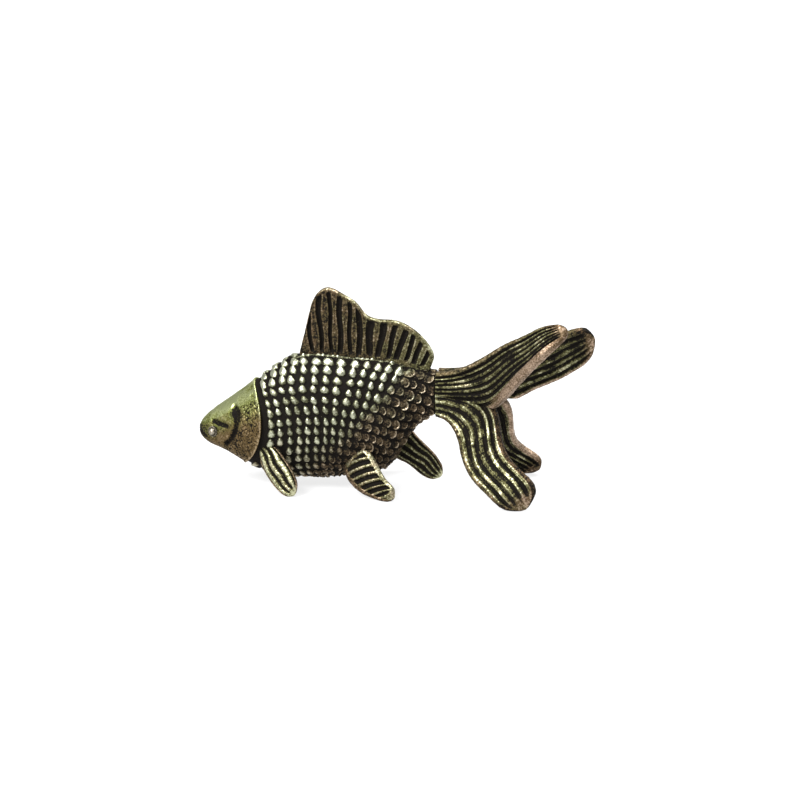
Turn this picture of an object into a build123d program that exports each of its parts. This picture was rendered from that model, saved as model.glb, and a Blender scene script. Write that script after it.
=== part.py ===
from build123d import *
import os
from math import cos, pi, radians, sin, tan

# A goldfish figurine in antique brass, standing on the tips of both pectoral fins, of the left pelvic fin
# and of its lower tail lobes. The trunk carries everything: the head plugs into its front with a round
# spigot, each fin sits in a socket of its own outline, and the four tail lobes are lapped on a flat tang
# behind the tail stem. Soft solder fills the gap at every seat, and nothing moves.
# Millimetres. +X runs from the nose to the tail, +Z is up, the ground is Z = 0 and the fish's left is -Y.

# Lengths along the fish, heights over the ground, and what every seat and cut shares
head_length = 8.4
trunk_length = 20.7
tail_length = 18.9
belly_height = 0.95
stem_centre_height = 12.1
solder_gap = 0.05
overrun = 2.0

# Trunk, with the tail stem and the tang behind it
trunk_height = 15.4
trunk_width = 10.0
stem_height = 5.4
stem_width = 3.4
tang_length = 4.6
tang_height = 3.4
tang_thickness = 0.9
tang_corner_radius = 1.2

# Head, which stands proud of the trunk along a round gill rim, with a groove behind each cheek
gill_radius = 7.5
gill_centre_height = 8.0
gill_step = 0.3
cheek_radius = 4.2
cheek_groove_width = 0.5
cheek_groove_depth = 0.35
cheek_start_angle = -48
cheek_sweep_angle = 68
spigot_radius = 2.0
spigot_length = 2.6

# Eyes, domed beads in a stepped ring, each on a peg
eye_setback = 2.05
eye_height = 6.3
eye_ring_radius = 0.66
eye_ring_height = 0.16
eye_ball_radius = 0.44
eye_ball_height = 0.4
eye_seat_depth = 0.3
eye_peg_radius = 0.28
eye_peg_length = 0.8

# Dorsal fin, a grooved sail on a blade tenon, whose setback is from the tail stem to its rear end
dorsal_setback = 0.4
dorsal_length = 16.4
dorsal_height = 8.4
dorsal_thickness = 1.3
dorsal_seat_depth = 1.2
dorsal_groove_count = 14
dorsal_groove_width = 0.52
dorsal_groove_depth = 0.25
dorsal_rim_width = 0.75

# Paired fins: where they leave the trunk, how far they reach back and how wide they stand on the ground
pectoral_setback = 0.4
pectoral_reach = 4.5
pectoral_root_height = 5.5
pectoral_stance = 6.8
pectoral_thickness = 1.3
pectoral_ribs = 4
pelvic_setback = 11.0
pelvic_reach = 5.85
pelvic_root_height = 5.5
pelvic_stance = 6.7
right_pelvic_tip_height = 1.7
pelvic_thickness = 1.4
pelvic_ribs = 6

# Anal fin, on the steep underside in front of the tail stem, from which its setback is measured
anal_setback = 4.9
anal_reach = 5.9
anal_tip_height = 1.0
anal_thickness = 1.4
anal_ribs = 5

# Tail lobes: the upper two differ in reach, rise and splay, the lower two in reach alone
upper_left_reach = 17.1
upper_left_rise = 8.0
upper_left_splay = 5.8
upper_right_rise = 5.3
upper_right_splay = 5.0
lower_left_reach = 13.6
lower_right_reach = 11.8
lower_stance = 8.0
lobe_thickness = 1.7
lobe_ribs = 6
parting_angle = 7.0

# Depth of the valley between two ribs as a share of a leaf's half thickness, and how square its edges are
valley_share = 0.3
edge_squareness_share = 0.7
# Where on its reach and on its root height a fin's root is measured against the trunk
fin_root_height_share = 0.8
anal_root_share = 0.17
# The ends of the sail's tenon and of its row of grooves, and how far the grooves lean back, along its length
tenon_front_share = 0.03
tenon_rear_share = 0.95
groove_front_share = 0.075
groove_rear_share = 0.93
groove_lean_share = 0.02

# One half of the round of a body section: shares of the half width and of the height, from belly to back
section_half_shares = [
    (0.0, 0.0),
    (0.56, 0.07),
    (0.89, 0.25),
    (1.0, 0.47),
    (0.87, 0.71),
    (0.5, 0.91),
    (0.0, 1.0),
]
# Along the head: share of its length, then belly line and back line as shares of the trunk's height, then
# width as a share of the trunk's width
head_station_shares = [
    (0.0, 0.30, 0.37, 0.10),
    (0.09, 0.25, 0.43, 0.25),
    (0.32, 0.19, 0.54, 0.46),
    (0.62, 0.115, 0.66, 0.68),
    (0.95, 0.03, 0.80, 0.86),
]
# Along the trunk, in the same order; its last section is the tail stem
trunk_station_shares = [
    (0.14, 0.0, 0.955, 0.97),
    (0.37, 0.0, 1.0, 1.0),
    (0.61, 0.06, 0.985, 0.9),
    (0.76, 0.17, 0.965, 0.74),
    (0.87, 0.42, 0.935, 0.52),
]
# The sail's outline from its front root to its rear corner: shares of its length and of its height
dorsal_outline_shares = [
    (0.0, 0.0),
    (0.045, 0.38),
    (0.075, 0.64),
    (0.13, 0.91),
    (0.195, 1.0),
    (0.32, 0.92),
    (0.435, 0.77),
    (0.487, 0.64),
    (0.54, 0.585),
    (0.71, 0.56),
    (0.86, 0.425),
    (0.96, 0.225),
    (1.0, 0.035),
    (0.985, -0.07),
]
# Fins and lobes are given by pairs of points on their leading and trailing edges, root first. A point holds
# shares of the reach, of the way out from the trunk to the stance and of the height; a row ends with a share
# of the thickness.
pectoral_shares = [
    ((-0.16, -0.24, 0.80), (0.02, -0.24, 1.03), 0.8),
    ((-0.08, 0.14, 0.605), (0.30, 0.14, 0.98), 1.0),
    ((0.15, 0.45, 0.32), (0.58, 0.45, 0.775), 1.0),
    ((0.425, 0.72, 0.10), (0.83, 0.72, 0.53), 0.9),
    ((0.66, 0.90, 0.0), (0.96, 0.90, 0.31), 0.8),
    ((0.835, 1.0, -0.03), (1.0, 1.0, 0.147), 0.5),
]
pelvic_shares = [
    ((-0.15, -0.30, 0.57), (0.14, -0.30, 1.0), 0.8),
    ((-0.096, 0.11, 0.385), (0.34, 0.07, 1.0), 1.0),
    ((0.055, 0.41, 0.23), (0.504, 0.30, 0.835), 1.0),
    ((0.284, 0.67, 0.10), (0.65, 0.56, 0.607), 0.95),
    ((0.57, 0.85, 0.016), (0.815, 0.78, 0.42), 0.85),
    ((0.81, 0.96, -0.01), (0.954, 0.93, 0.29), 0.7),
    ((0.94, 1.0, 0.0), (1.0, 1.0, 0.19), 0.4),
]
anal_shares = [
    ((-0.105, 0.0, 0.73), (0.227, 0.0, 1.56), 0.9),
    ((0.0, 0.0, 0.577), (0.33, 0.0, 1.377), 1.0),
    ((0.207, 0.0, 0.446), (0.537, 0.0, 1.07), 1.0),
    ((0.454, 0.0, 0.19), (0.746, 0.0, 0.80), 0.95),
    ((0.683, 0.0, 0.033), (0.91, 0.0, 0.487), 0.8),
    ((0.85, 0.0, 0.0), (0.993, 0.0, 0.236), 0.45),
]
# The upper lobes' leading edge rises from the top of the tail stem and their trailing edge from its middle
upper_left_shares = [
    ((-0.03, 0.0, 0.0), (-0.03, 0.0, -0.14), 1.0),
    ((0.18, 0.09, 0.10), (0.23, 0.13, -0.19), 1.0),
    ((0.40, 0.19, 0.39), (0.425, 0.31, -0.14), 0.95),
    ((0.55, 0.27, 0.59), (0.605, 0.72, 0.29), 0.9),
    ((0.685, 0.35, 0.74), (0.735, 0.92, 0.635), 0.85),
    ((0.80, 0.45, 0.88), (0.87, 0.98, 0.94), 0.8),
    ((0.953, 0.66, 0.995), (1.0, 0.74, 1.17), 0.35),
]
upper_right_shares = [
    ((-0.03, 0.0, 0.0), (-0.03, 0.0, -0.2), 1.0),
    ((0.164, 0.11, 0.03), (0.205, 0.16, -0.29), 1.0),
    ((0.365, 0.23, 0.305), (0.435, 0.40, -0.295), 0.95),
    ((0.56, 0.30, 0.55), (0.585, 0.73, -0.05), 0.9),
    ((0.72, 0.37, 0.775), (0.73, 0.95, 0.165), 0.85),
    ((0.845, 0.47, 0.94), (0.875, 0.98, 0.48), 0.8),
    ((0.927, 0.57, 0.975), (0.965, 0.86, 0.825), 0.65),
    ((0.968, 0.61, 0.925), (1.0, 0.71, 1.13), 0.35),
]
# The lower lobes come down to the ground, from the underside of the tail stem and from its middle
lower_left_shares = [
    ((-0.04, 0.0, 1.0), (-0.04, 0.0, 1.1), 1.0),
    ((0.13, 0.09, 0.925), (0.32, 0.06, 1.08), 1.0),
    ((0.228, 0.30, 0.745), (0.537, 0.12, 0.93), 0.95),
    ((0.287, 0.50, 0.53), (0.625, 0.36, 0.653), 0.9),
    ((0.397, 0.72, 0.32), (0.728, 0.58, 0.463), 0.85),
    ((0.55, 0.89, 0.16), (0.897, 0.83, 0.347), 0.8),
    ((0.70, 0.985, 0.02), (0.985, 0.96, 0.215), 0.7),
    ((0.83, 1.01, -0.03), (0.97, 1.0, 0.075), 0.45),
]
lower_right_shares = [
    ((-0.04, 0.0, 1.0), (-0.04, 0.0, 1.1), 1.0),
    ((0.153, 0.09, 0.925), (0.373, 0.06, 1.08), 1.0),
    ((0.263, 0.30, 0.745), (0.703, 0.15, 0.88), 0.95),
    ((0.33, 0.50, 0.53), (0.746, 0.30, 0.628), 0.9),
    ((0.44, 0.72, 0.32), (0.754, 0.52, 0.43), 0.85),
    ((0.585, 0.89, 0.15), (0.84, 0.75, 0.29), 0.8),
    ((0.72, 0.985, 0.02), (0.966, 0.89, 0.165), 0.7),
    ((0.84, 1.01, -0.03), (1.0, 0.96, 0.074), 0.45),
]

nose_x = -(head_length + trunk_length + tail_length) / 2
gill_x = nose_x + head_length
stem_x = gill_x + trunk_length
stem_low = stem_centre_height - stem_height / 2
stem_top = stem_centre_height + stem_height / 2
gill_centre = Vector(gill_x - gill_radius, 0, gill_centre_height)
sides = (("left", -1), ("right", 1))


def body_form(proud):
    """The smooth egg-shaped body from nose to tail stem, grown by proud from the gill rim backwards.

    In front of the rim the growth fades out towards the nose."""
    stations = [(nose_x + head_length * s, s * s, *shares) for s, *shares in head_station_shares]
    stations += [(gill_x + trunk_length * s, 1, *shares) for s, *shares in trunk_station_shares]
    sections = []
    for x, full, low, high, wide in stations:
        low_height, high_height = (belly_height + trunk_height * share for share in (low, high))
        sections.append((x, full, low_height, high_height, trunk_width * wide / 2))
    sections.append((stem_x, 1, stem_low, stem_top, stem_width / 2))
    with BuildPart() as form:
        for x, full, low, high, half_width in sections:
            grow = proud * full
            height = high - low + 2 * grow
            width = half_width + grow
            side = [(width * across, low - grow + height * up) for across, up in section_half_shares]
            other_side = [(-across, up) for across, up in side[-2:0:-1]]
            with BuildSketch(Plane.YZ.offset(x)):
                with BuildLine():
                    Spline(*side, *other_side, periodic=True)
                make_face()
        loft()
    return form.part


def ribbed_face(half_width, half_thickness, ribs, way):
    """Points across one face of a leaf's section, from trailing to leading edge, four to a rib."""
    points = []
    for step in range(4 * ribs + 1):
        turn = pi * step / (4 * ribs)
        valley = valley_share * (1 + cos(2 * ribs * turn)) / 2
        rise = max(sin(turn), 0) ** edge_squareness_share * (1 - valley)
        points.append((half_width * cos(turn), way * half_thickness * rise))
    return points


def leaf(pairs, thickness, ribs, grow):
    """A ribbed leaf lofted through sections between its two edges, grown by grow all round."""
    middles = [(lead + trail) / 2 for lead, trail, _ in pairs]
    with BuildPart() as blade:
        for place, (lead, trail, share) in enumerate(pairs):
            across = trail - lead
            along = middles[min(place + 1, len(pairs) - 1)] - middles[max(place - 1, 0)]
            square = along - across * (across.dot(along) / across.dot(across))
            with BuildSketch(Plane(origin=middles[place], x_dir=across, z_dir=square)):
                with BuildLine():
                    for way in (1, -1):
                        half_width = across.length / 2 + grow
                        half_thickness = thickness * share / 2 + grow
                        Spline(*ribbed_face(half_width, half_thickness, ribs, way))
                make_face()
        loft()
    return blade.part


smooth_body = body_form(0)
head_body = body_form(gill_step)


def surface_hit(body, start, way):
    """The outermost place where a line from start along way leaves a body, and the way the surface faces."""
    hits = body.find_intersection_points(Axis(start, way))
    return max(hits, key=lambda hit: hit[0].dot(Vector(way)))


def paired_fin(shares, setback, reach, root_height, stance, thickness, ribs, side, tip_height, grow):
    """A fin from the trunk's side down to its tip, which is left long where it stands on the ground."""
    root_x = gill_x + setback
    root_rise = root_height - tip_height
    start = (root_x, 0, root_height * fin_root_height_share)
    root_y = abs(surface_hit(smooth_body, start, (0, side, 0))[0].Y)
    pairs = []
    for lead, trail, share in shares:
        ends = [
            Vector(
                root_x + reach * back,
                side * (root_y + (stance - root_y) * out),
                tip_height + root_rise * up,
            )
            for back, out, up in (lead, trail)
        ]
        pairs.append((*ends, share))
    return leaf(pairs, thickness, ribs, grow)


def anal_blade(grow):
    """The fin on the middle plane, its root following the underside of the trunk."""
    root_x = stem_x - anal_setback
    start = (root_x + anal_reach * anal_root_share, 0, stem_centre_height)
    root_rise = surface_hit(smooth_body, start, (0, 0, -1))[0].Z - anal_tip_height
    pairs = []
    for lead, trail, share in anal_shares:
        ends = [
            Vector(root_x + anal_reach * back, 0, anal_tip_height + root_rise * up)
            for back, _, up in (lead, trail)
        ]
        pairs.append((*ends, share))
    return leaf(pairs, anal_thickness, anal_ribs, grow)


def tail_lobe(shares, reach, splay, side, bases, rises):
    """A lobe from the tail stem; its two edges run up from their bases by shares of their rises."""
    root_y = stem_width / 4
    pairs = []
    for lead, trail, share in shares:
        ends = [
            Vector(stem_x + reach * back, side * (root_y + (splay - root_y) * out), base + rise * up)
            for (back, out, up), base, rise in zip((lead, trail), bases, rises)
        ]
        pairs.append((*ends, share))
    return leaf(pairs, lobe_thickness, lobe_ribs, 0)


os.makedirs("parts", exist_ok=True)
sockets = []

# Paired fins, cut flat where they stand on the ground; the right pelvic fin is held clear of it
pectoral_sizes = (
    pectoral_shares,
    pectoral_setback,
    pectoral_reach,
    pectoral_root_height,
    pectoral_stance,
    pectoral_thickness,
    pectoral_ribs,
)
pelvic_sizes = (
    pelvic_shares,
    pelvic_setback,
    pelvic_reach,
    pelvic_root_height,
    pelvic_stance,
    pelvic_thickness,
    pelvic_ribs,
)
paired_fins = (
    ("left_pectoral_fin", pectoral_sizes, -1, 0),
    ("right_pectoral_fin", pectoral_sizes, 1, 0),
    ("left_pelvic_fin", pelvic_sizes, -1, 0),
    ("right_pelvic_fin", pelvic_sizes, 1, right_pelvic_tip_height),
)
for fin_name, fin_sizes, side, tip_height in paired_fins:
    sockets.append(paired_fin(*fin_sizes, side, tip_height, solder_gap))
    blade = paired_fin(*fin_sizes, side, tip_height, 0)
    with BuildPart() as fin:
        add(blade)
        split(bisect_by=Plane.XY, keep=Keep.TOP)
    fin.part.label = fin_name
    export_step(fin.part, f"parts/{fin_name}.step")

# Anal fin
sockets.append(anal_blade(solder_gap))
blade = anal_blade(0)
with BuildPart() as anal_fin:
    add(blade)
anal_fin.part.label = "anal_fin"
export_step(anal_fin.part, "parts/anal_fin.step")

# Dorsal fin: the outline ends in a tenon under the line of the back, and grooves run up both faces
dorsal_x = stem_x - dorsal_setback - dorsal_length


def back_point(share, drop):
    """A point on the middle plane under the line of the back, at a share of the sail's length."""
    x = dorsal_x + dorsal_length * share
    return (x, surface_hit(smooth_body, (x, 0, stem_centre_height), (0, 0, 1))[0].Z - drop)


sail_base = back_point(0, 0)[1]
sail_outline = [
    (dorsal_x + dorsal_length * along, sail_base + dorsal_height * up)
    for along, up in dorsal_outline_shares
]
tenon_front = back_point(tenon_front_share, dorsal_seat_depth)
tenon_rear = back_point(tenon_rear_share, dorsal_seat_depth)


def sail_height(share):
    """The height of the sail's outline over its base at a share of its length."""
    for (s0, h0), (s1, h1) in zip(dorsal_outline_shares, dorsal_outline_shares[1:]):
        if s0 <= share <= s1:
            return dorsal_height * (h0 + (h1 - h0) * (share - s0) / (s1 - s0))
    return 0


with BuildPart() as dorsal_fin:
    with BuildSketch(Plane.XZ):
        with BuildLine():
            Spline(*sail_outline)
            Polyline(sail_outline[-1], tenon_rear, tenon_front, sail_outline[0])
        make_face()
    extrude(amount=dorsal_thickness / 2, both=True)
    groove_floor = dorsal_thickness / 2 - dorsal_groove_depth
    for way in (1, -1):
        with BuildSketch(Plane.XZ.offset(way * groove_floor)):
            for groove in range(dorsal_groove_count):
                share = groove / (dorsal_groove_count - 1)
                foot_share = groove_front_share + (groove_rear_share - groove_front_share) * share
                top_share = foot_share + groove_lean_share * share
                foot = Vector(*back_point(foot_share, -dorsal_groove_width))
                top = Vector(
                    dorsal_x + dorsal_length * top_share,
                    sail_base + sail_height(top_share) - dorsal_rim_width,
                )
                run = top - foot
                lean = Vector(1, 0).get_signed_angle(run)
                with Locations((foot + top) / 2):
                    SlotCenterToCenter(run.length, dorsal_groove_width, rotation=lean)
        extrude(amount=way * (dorsal_groove_depth + overrun), mode=Mode.SUBTRACT)
dorsal_fin.part.label = "dorsal_fin"
export_step(dorsal_fin.part, "parts/dorsal_fin.step")

# Tail lobes, lapped on the tang; upper and lower are parted along a seam that falls towards the rear
parting_slope = tan(radians(parting_angle))
upper_bases = (stem_top, stem_centre_height)
lower_rises = (stem_low, stem_centre_height)
lower_bases = (0, 0)
upper_left_rises = (upper_left_rise, upper_left_rise)
upper_right_rises = (upper_right_rise, upper_right_rise)
lobes = (
    ("upper_left", -1, upper_left_shares, upper_left_reach, upper_left_splay, upper_bases, upper_left_rises),
    ("upper_right", 1, upper_right_shares, tail_length, upper_right_splay, upper_bases, upper_right_rises),
    ("lower_left", -1, lower_left_shares, lower_left_reach, lower_stance, lower_bases, lower_rises),
    ("lower_right", 1, lower_right_shares, lower_right_reach, lower_stance, lower_bases, lower_rises),
)
for lobe_name, side, shares, reach, splay, bases, rises in lobes:
    blade = tail_lobe(shares, reach, splay, side, bases, rises)
    level = 1 if bases == upper_bases else -1
    front, rear = stem_x + solder_gap, stem_x + reach + overrun
    seam = [
        (x, stem_centre_height + level * solder_gap / 2 - parting_slope * (x - stem_x))
        for x in (front, rear)
    ]
    far_height = stem_top + rises[0] + overrun if level > 0 else 0
    with BuildPart() as lobe:
        with BuildSketch(Plane.XZ.offset(-side * (tang_thickness / 2 + solder_gap))):
            with BuildLine():
                Polyline(*seam, (rear, far_height), (front, far_height), close=True)
            make_face()
        extrude(amount=-side * (splay + overrun))
        add(blade, mode=Mode.INTERSECT)
    lobe.part.label = f"{lobe_name}_tail_lobe"
    export_step(lobe.part, f"parts/{lobe.part.label}.step")

# Eyes, turned about the way the head's side faces; their seats are the same turned shape, grown
def eye_turning(plane, grow, ring_height):
    """The bead's peg and ring on one axis."""
    with BuildPart() as turning:
        with BuildSketch(plane.offset(-eye_seat_depth - eye_peg_length)):
            Circle(eye_peg_radius + grow)
        extrude(amount=eye_peg_length)
        with BuildSketch(plane.offset(-eye_seat_depth)):
            Circle(eye_ring_radius + grow)
        extrude(amount=eye_seat_depth + ring_height)
    return turning.part


eye_seats = []
for side_name, side in sides:
    place, facing = surface_hit(head_body, (nose_x + eye_setback, 0, eye_height), (0, side, 0))
    eye_plane = Plane(place, z_dir=facing)
    eye_seats.append(eye_turning(eye_plane, solder_gap, overrun))
    turning = eye_turning(eye_plane, 0, eye_ring_height)
    with BuildPart() as eye:
        add(turning)
        with BuildSketch(Plane(place, x_dir=eye_plane.x_dir, z_dir=eye_plane.y_dir)):
            with Locations((0, -eye_ring_height)):
                Ellipse(eye_ball_radius, eye_ball_height)
            split(bisect_by=Plane.YZ, keep=Keep.TOP)
        revolve(axis=Axis(place, facing))
    eye.part.label = f"{side_name}_eye"
    export_step(eye.part, f"parts/{eye.part.label}.step")

# Head: the proud body up to the gill rim, with the spigot, the cheek grooves and the eyes' seats
cheek_path = CenterArc((gill_centre.X, gill_centre.Z), cheek_radius, cheek_start_angle, cheek_sweep_angle)
cheek_floor = body_form(gill_step - cheek_groove_depth)
with BuildPart() as cheek_grooves:
    with BuildSketch(Plane.XZ):
        SlotArc(cheek_path, cheek_groove_width)
    extrude(amount=trunk_width, both=True)
    add(cheek_floor, mode=Mode.SUBTRACT)
with BuildPart() as head:
    add(head_body)
    with Locations(gill_centre):
        Cylinder(gill_radius, 2 * trunk_width, rotation=(90, 0, 0), mode=Mode.INTERSECT)
    with BuildSketch(Plane.YZ.offset(gill_x - spigot_length)):
        with Locations((0, gill_centre_height)):
            Circle(spigot_radius)
    extrude(amount=2 * spigot_length)
    add(cheek_grooves.part, mode=Mode.SUBTRACT)
    for seat in eye_seats:
        add(seat, mode=Mode.SUBTRACT)
head.part.label = "head"
export_step(head.part, "parts/head.step")

# Trunk: the body behind the gill rim, with the spigot's bore, the fins' sockets, the slot and the tang
with BuildPart() as trunk:
    add(smooth_body)
    with Locations(gill_centre):
        Cylinder(gill_radius, 2 * trunk_width, rotation=(90, 0, 0), mode=Mode.SUBTRACT)
    with BuildSketch(Plane.YZ.offset(gill_x - spigot_length)):
        with Locations((0, gill_centre_height)):
            Circle(spigot_radius + solder_gap)
    extrude(amount=2 * spigot_length + solder_gap, mode=Mode.SUBTRACT)
    for socket in sockets:
        add(socket, mode=Mode.SUBTRACT)
    slot_front = dorsal_x - solder_gap
    slot_rear = sail_outline[-1][0] + solder_gap
    slot_ceiling = belly_height + trunk_height + overrun
    with BuildSketch(Plane.XZ):
        with BuildLine():
            Polyline(
                (slot_front, slot_ceiling),
                (slot_front, sail_base),
                (tenon_front[0] - solder_gap, tenon_front[1] - solder_gap),
                (tenon_rear[0] + solder_gap, tenon_rear[1] - solder_gap),
                (slot_rear, sail_outline[-1][1]),
                (slot_rear, slot_ceiling),
                close=True,
            )
        make_face()
    extrude(amount=dorsal_thickness / 2 + solder_gap, both=True, mode=Mode.SUBTRACT)
    with BuildSketch(Plane.XZ):
        with Locations((stem_x + (tang_length - overrun) / 2, stem_centre_height)):
            RectangleRounded(tang_length + overrun, tang_height, tang_corner_radius)
    extrude(amount=tang_thickness / 2, both=True)
trunk.part.label = "trunk"
export_step(trunk.part, "parts/trunk.step")
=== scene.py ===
from math import cos, pi, radians, sin, tan

import bmesh
import bpy
import numpy as np
from mathutils import Matrix, Vector, noise


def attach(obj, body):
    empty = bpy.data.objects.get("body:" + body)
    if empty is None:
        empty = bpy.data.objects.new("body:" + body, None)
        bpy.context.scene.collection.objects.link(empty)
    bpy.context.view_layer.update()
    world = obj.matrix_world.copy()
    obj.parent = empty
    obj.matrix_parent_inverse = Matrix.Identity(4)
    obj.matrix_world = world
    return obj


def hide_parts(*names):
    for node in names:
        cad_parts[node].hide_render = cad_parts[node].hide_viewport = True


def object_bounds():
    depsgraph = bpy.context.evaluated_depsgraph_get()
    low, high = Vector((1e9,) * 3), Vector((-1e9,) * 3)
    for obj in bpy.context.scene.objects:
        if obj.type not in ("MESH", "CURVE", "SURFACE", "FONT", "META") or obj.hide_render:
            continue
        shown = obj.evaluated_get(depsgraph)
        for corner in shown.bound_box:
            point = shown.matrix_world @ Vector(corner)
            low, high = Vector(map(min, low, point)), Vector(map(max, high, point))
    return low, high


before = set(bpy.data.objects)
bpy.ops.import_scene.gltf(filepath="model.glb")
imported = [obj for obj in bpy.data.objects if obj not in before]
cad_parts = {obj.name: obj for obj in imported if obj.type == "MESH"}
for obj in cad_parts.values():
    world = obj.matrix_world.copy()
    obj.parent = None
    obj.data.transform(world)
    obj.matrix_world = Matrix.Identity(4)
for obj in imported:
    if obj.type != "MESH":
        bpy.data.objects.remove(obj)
cad_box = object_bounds()

# Trunk
# The solid cast body from the gill rim to the tail stem. Its scales stand up from the casting, and the gaps
# between them keep the black of the antiquing bath. A flat tang behind the stem carries the tail lobes.
mm = 0.001
head_length = 8.4 * mm
trunk_length = 20.7 * mm
trunk_height = 15.4 * mm
trunk_width = 10.0 * mm
belly_height = 0.95 * mm
stem_centre_height = 12.1 * mm
stem_height = 5.4 * mm
stem_width = 3.4 * mm
tang_length = 4.6 * mm
tang_height = 3.4 * mm
tang_thickness = 0.9 * mm
tang_corner = 0.35 * mm
gill_radius = 7.5 * mm
gill_centre_height = 8.0 * mm
nose_x = cad_box[0].x
gill_x = nose_x + head_length
stem_x = gill_x + trunk_length
gill_centre_x = gill_x - gill_radius
stem_low = stem_centre_height - stem_height / 2
stem_top = stem_centre_height + stem_height / 2
# Where the trunk's grid leaves its front seam face and reaches its rear one
seam_share = 0.03
stem_share = 0.985

# One half of a body section, from belly to back: shares of the half width and of the height
section_half_shares = [
    (0.0, 0.0),
    (0.56, 0.07),
    (0.89, 0.25),
    (1.0, 0.47),
    (0.87, 0.71),
    (0.5, 0.91),
    (0.0, 1.0),
]
widest_share = section_half_shares[3][1]
# Along the head and the trunk: share of the length, belly and back line in the height, and width
head_station_shares = [
    (0.0, 0.30, 0.37, 0.10),
    (0.09, 0.25, 0.43, 0.25),
    (0.32, 0.19, 0.54, 0.46),
    (0.62, 0.115, 0.66, 0.68),
    (0.95, 0.03, 0.80, 0.86),
]
trunk_station_shares = [
    (0.14, 0.0, 0.955, 0.97),
    (0.37, 0.0, 1.0, 1.0),
    (0.61, 0.06, 0.985, 0.9),
    (0.76, 0.17, 0.965, 0.74),
    (0.87, 0.42, 0.935, 0.52),
]


def curve_through(knots, values):
    """A natural cubic curve through a few chosen values, which can be read at an array of places."""
    knots = np.asarray(knots, float)
    values = np.asarray(values, float)
    gaps = np.diff(knots)[:, None]
    slopes = np.diff(values, axis=0) / gaps
    system = np.eye(len(knots))
    bends = np.zeros_like(values)
    for k in range(1, len(knots) - 1):
        before, after = gaps[k - 1, 0], gaps[k, 0]
        system[k, k - 1 : k + 2] = before, 2 * (before + after), after
        bends[k] = 6 * (slopes[k] - slopes[k - 1])
    bends = np.linalg.solve(system, bends)

    def read(places):
        k = np.clip(np.searchsorted(knots, places) - 1, 0, len(knots) - 2)
        past = (places - knots[k])[:, None]
        left = (knots[k + 1] - places)[:, None]
        gap = gaps[k]
        curved = (bends[k] * left**3 + bends[k + 1] * past**3) / (6 * gap)
        start = (values[k] / gap - bends[k] * gap / 6) * left
        return curved + start + (values[k + 1] / gap - bends[k + 1] * gap / 6) * past

    return read


stations = [(nose_x + head_length * s, *shares) for s, *shares in head_station_shares]
stations += [(gill_x + trunk_length * s, *shares) for s, *shares in trunk_station_shares]
body_sizes = [
    (belly_height + trunk_height * low, belly_height + trunk_height * high, trunk_width * wide / 2)
    for _, low, high, wide in stations
]
body_at = curve_through(
    [x for x, *_ in stations] + [stem_x], body_sizes + [(stem_low, stem_top, stem_width / 2)]
)
whole_round = [(-across, up) for across, up in section_half_shares[2:0:-1]]
whole_round += section_half_shares
whole_round += [(-across, up) for across, up in section_half_shares[-2:-4:-1]]
round_steps = np.hypot(*(np.diff(whole_round, axis=0) * (trunk_width / 2, trunk_height)).T)
round_places = np.cumsum([0, *round_steps])
belly_place, back_place = round_places[2], round_places[-3]
section_at = curve_through((round_places - belly_place) / (back_place - belly_place), whole_round)


def body_points(x, turn, proud):
    """Points of the egg-shaped body; turn runs from the belly up the left side and down the right side."""
    turn = turn % 1
    low, high, half_width = body_at(x).T
    across, up = section_at(1 - abs(2 * turn - 1)).T
    side = np.where(turn < 0.5, -1, 1)
    z = low - proud + (high - low + 2 * proud) * up
    return np.column_stack((x, side * (half_width + proud) * across, z))


def gill_line(z):
    """Where the round gill seam stands along the fish at a height."""
    return gill_centre_x + np.sqrt(np.maximum(gill_radius**2 - (z - gill_centre_height) ** 2, 0))


def ease(value, start, end):
    """A soft step from 0 at start to 1 at end."""
    share = np.clip((value - start) / (end - start), 0, 1)
    return share * share * (3 - 2 * share)


def ridge(value, centre, width):
    """1 at the centre, falling to 0 a few widths away."""
    return np.exp(-(((value - centre) / width) ** 2))


def trunk_surface(u, turn):
    """The trunk from the gill seam to the stem, closed by its seam face in front and a flat one behind."""
    reach = np.interp(u, (0, seam_share, stem_share, 1), (-1, 0, 1, 2))
    along = np.clip(reach, 0, 1)
    x = gill_x + trunk_length * along
    for _ in range(16):
        front = gill_line(body_points(x, turn, 0)[:, 2])
        x = (x + front + (stem_x - front) * along) / 2
    points = body_points(x, turn, 0)
    shrink = np.minimum(1, np.minimum(1 + reach, 2 - reach))
    points[:, 1] *= shrink
    axis_z = np.where(reach < 0, gill_centre_height, stem_centre_height)
    points[:, 2] = axis_z + (points[:, 2] - axis_z) * shrink
    points[:, 0] = np.where(reach < 0, gill_line(points[:, 2]), points[:, 0])
    return points


# The scales stand in rows on arcs about a centre under the belly, and in columns that fan out from it
fan_x = -8.4 * mm
fan_height = -12.2 * mm
fan_radius = 21.0 * mm
row_pitch = 1.28 * mm
front_pitch = 1.24 * mm
rear_pitch = 0.86 * mm
scale_height = 0.36 * mm
scale_bed_depth = 0.12 * mm
bead_half_width_share = 0.37
bead_half_height_share = 0.48
bead_lean_share = 0.2
bead_point_share = 0.45
gill_recess = 0.75 * mm
gill_bend = 4.5 * mm
# Behind this slanting line the beads turn into rimmed scales: its foot, its height there and its slant
rims_x = -6.3 * mm
rims_height = 6.4 * mm
rims_slant = 0.86
rims_fade_start = -1.2 * mm
rims_fade_end = 2.6 * mm
# Columns follow the gill rim at the front, and the fan alone this far behind it
fan_blend = 12 * mm
recess_fade = 0.2 * mm
# Pearls along the foot of the sail: how far up the side, and their ends behind the gills and before the stem
strip_share = 0.95
strip_pitch = 0.6 * mm
strip_front = 3 * mm
strip_rear = 1.5 * mm
strip_fade = 1 * mm
cast_roughness = 0.025 * mm
cast_lump = 0.3 * mm
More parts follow.
